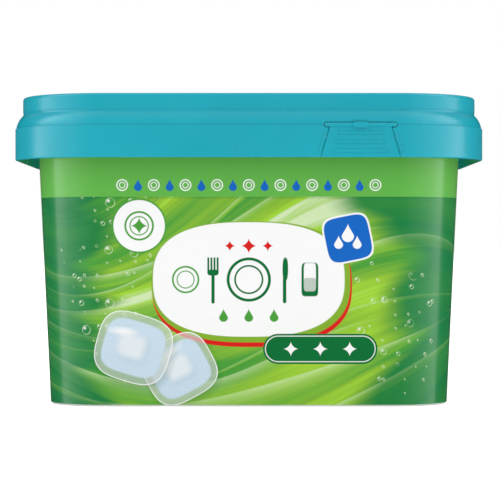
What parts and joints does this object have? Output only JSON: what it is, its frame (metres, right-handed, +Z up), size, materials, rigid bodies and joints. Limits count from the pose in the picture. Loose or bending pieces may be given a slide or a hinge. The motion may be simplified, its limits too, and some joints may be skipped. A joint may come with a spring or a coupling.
{
  "type": "dishwasher tablet tub",
  "caption": "Rounded rectangular plastic tub with a wrap-round label, a lift-off snap lid with press tabs, and wrapped dishwasher tablets inside.",
  "frame": {"origin": "middle of the foot ring, on the surface that the tub stands on", "axes": "+Z up, +X along the long side, the front with the right-hand press tab faces -Y"},
  "size_m": [0.228, 0.1916, 0.1485],
  "materials": {
    "white_plastic": "satin moulded polypropylene",
    "printed_label": "glossy printed film moulded into the wall",
    "teal_plastic": "satin moulded polypropylene",
    "tablet_film": "clear soluble film over pale speckled powder"
  },
  "bodies": {
    "tub": {"tub": "white_plastic", "label": "printed_label", "tablets_layer_1": "tablet_film", "tablets_layer_2": "tablet_film", "tablets_layer_3": "tablet_film", "tablets_layer_4": "tablet_film", "tablets_layer_5": "tablet_film", "tablets_layer_6": "tablet_film", "tablets_layer_7": "tablet_film"},
    "lid": {"lid": "teal_plastic"},
    "front_press_tab": {"front_press_tab": "teal_plastic"},
    "rear_press_tab": {"rear_press_tab": "teal_plastic"}
  },
  "joints": [
    {"name": "lid_lift", "type": "slide", "parent": "tub", "child": "lid", "axis": [0, 0, 1], "range_m": [0, 0.1]},
    {"name": "front_tab_press", "type": "hinge", "parent": "lid", "child": "front_press_tab", "pos_m": [0.0524, -0.09454, 0.1332], "axis": [1, 0, 0], "range_deg": [0, 10], "stiffness_Nm_per_rad": 0.3},
    {"name": "rear_tab_press", "type": "hinge", "parent": "lid", "child": "rear_press_tab", "pos_m": [-0.0524, 0.09454, 0.1332], "axis": [-1, 0, 0], "range_deg": [0, 10], "stiffness_Nm_per_rad": 0.3}
  ]
}
